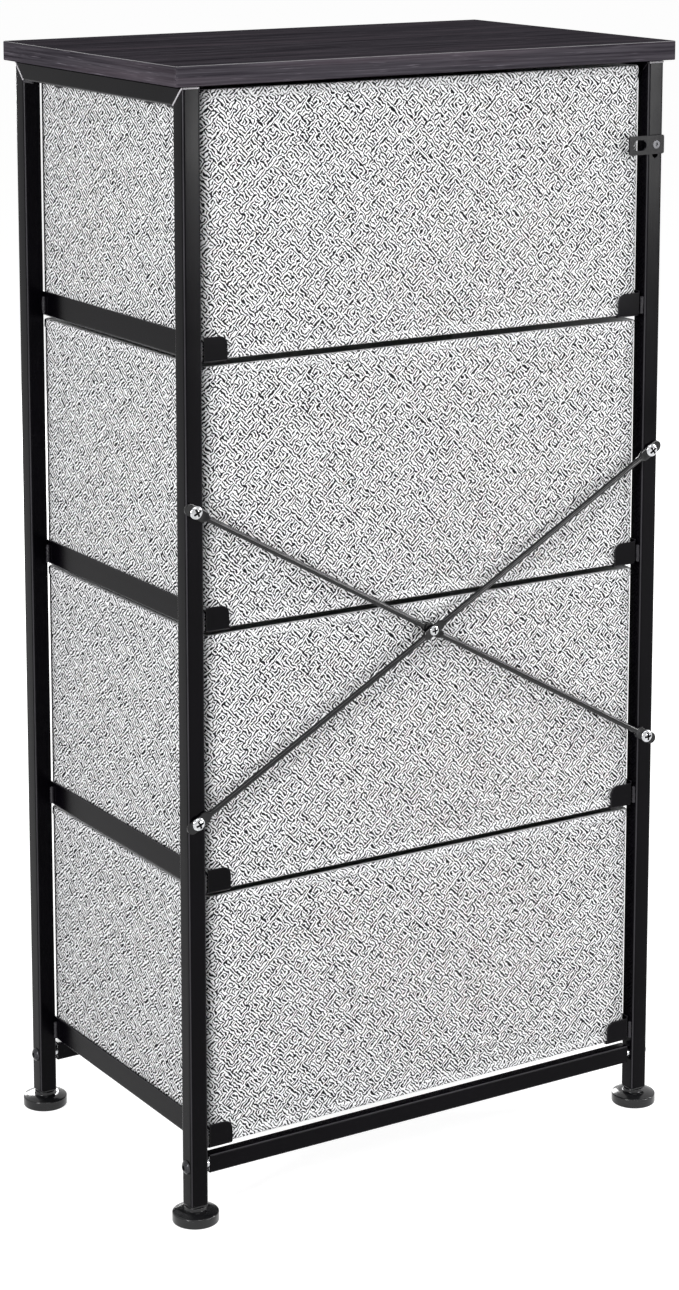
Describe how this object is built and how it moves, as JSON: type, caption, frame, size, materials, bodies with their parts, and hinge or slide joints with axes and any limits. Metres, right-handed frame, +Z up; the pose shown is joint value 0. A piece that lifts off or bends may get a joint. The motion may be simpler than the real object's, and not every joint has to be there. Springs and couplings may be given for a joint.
{
  "type": "fabric drawer dresser",
  "caption": "Narrow upright chest of fabric drawers in a black steel frame with folded angle rails, a crossed rod brace, levelling feet and a wood-grain top board.",
  "frame": {"origin": "on the floor, under the middle of the chest", "axes": "+Z up, -Y towards the drawer fronts, +X towards the right side as seen from the front"},
  "size_m": [0.455, 0.291, 0.884],
  "materials": {
    "board": "black wood-grain laminate, satin",
    "frame": "black satin powder coat",
    "rod": "black gloss powder coat",
    "zinc": "bright zinc-plated steel",
    "bolt": "black oxide steel",
    "plastic": "black moulded plastic, glossy",
    "fabric": "light grey speckled weave",
    "strap": "light grey speckled weave, doubled and stitched",
    "panel": "grey lined fibreboard"
  },
  "bodies": {
    "root": {"top_board": "board", "front_post_left": "frame", "rear_post_left": "frame", "top_rail_left": "frame", "angle_rail_left_1": "frame", "angle_rail_left_2": "frame", "angle_rail_left_3": "frame", "angle_rail_left_4": "frame", "front_post_right": "frame", "rear_post_right": "frame", "top_rail_right": "frame", "angle_rail_right_1": "frame", "angle_rail_right_2": "frame", "angle_rail_right_3": "frame", "angle_rail_right_4": "frame", "front_cross_rail": "frame", "end_plug_front_left": "zinc", "rail_bolt_front_left": "bolt", "end_plug_front_right": "zinc", "rail_bolt_front_right": "bolt", "rear_cross_rail": "frame", "end_plug_rear_left": "zinc", "rail_bolt_rear_left": "bolt", "end_plug_rear_right": "zinc", "rail_bolt_rear_right": "bolt", "brace_rod_inner": "rod", "brace_rod_outer": "rod", "brace_screw_left_low": "zinc", "brace_screw_left_high": "zinc", "brace_screw_right_low": "zinc", "brace_screw_right_high": "zinc", "brace_middle_screw": "zinc", "brace_middle_nut": "zinc", "wall_anchor_plate": "frame", "wall_anchor_screw": "bolt", "board_screw_front_left": "bolt", "board_screw_rear_left": "bolt", "board_screw_front_right": "bolt", "board_screw_rear_right": "bolt", "post_plug_front_left": "plastic", "post_plug_rear_left": "plastic", "post_plug_front_right": "plastic", "post_plug_rear_right": "plastic"},
    "drawer_1": {"drawer_1_box": "fabric", "drawer_1_base_board": "panel", "drawer_1_pull_strap": "strap"},
    "drawer_2": {"drawer_2_box": "fabric", "drawer_2_base_board": "panel", "drawer_2_pull_strap": "strap"},
    "drawer_3": {"drawer_3_box": "fabric", "drawer_3_base_board": "panel", "drawer_3_pull_strap": "strap"},
    "drawer_4": {"drawer_4_box": "fabric", "drawer_4_base_board": "panel", "drawer_4_pull_strap": "strap"},
    "levelling_foot_front_left": {"foot_front_left": "plastic"},
    "levelling_foot_rear_left": {"foot_rear_left": "plastic"},
    "levelling_foot_front_right": {"foot_front_right": "plastic"},
    "levelling_foot_rear_right": {"foot_rear_right": "plastic"}
  },
  "joints": [
    {"name": "drawer_1_slide", "type": "slide", "parent": "root", "child": "drawer_1", "axis": [0, -1, 0], "range_m": [0, 0.2]},
    {"name": "drawer_2_slide", "type": "slide", "parent": "root", "child": "drawer_2", "axis": [0, -1, 0], "range_m": [0, 0.2]},
    {"name": "drawer_3_slide", "type": "slide", "parent": "root", "child": "drawer_3", "axis": [0, -1, 0], "range_m": [0, 0.2]},
    {"name": "drawer_4_slide", "type": "slide", "parent": "root", "child": "drawer_4", "axis": [0, -1, 0], "range_m": [0, 0.2]},
    {"name": "foot_front_left_turn", "type": "hinge", "parent": "root", "child": "levelling_foot_front_left", "pos_m": [-0.2095, -0.1275, 0], "axis": [0, 0, 1], "continuous": true},
    {"name": "foot_rear_left_turn", "type": "hinge", "parent": "root", "child": "levelling_foot_rear_left", "pos_m": [-0.2095, 0.1275, 0], "axis": [0, 0, 1], "continuous": true},
    {"name": "foot_front_right_turn", "type": "hinge", "parent": "root", "child": "levelling_foot_front_right", "pos_m": [0.2095, -0.1275, 0], "axis": [0, 0, 1], "continuous": true},
    {"name": "foot_rear_right_turn", "type": "hinge", "parent": "root", "child": "levelling_foot_rear_right", "pos_m": [0.2095, 0.1275, 0], "axis": [0, 0, 1], "continuous": true}
  ]
}
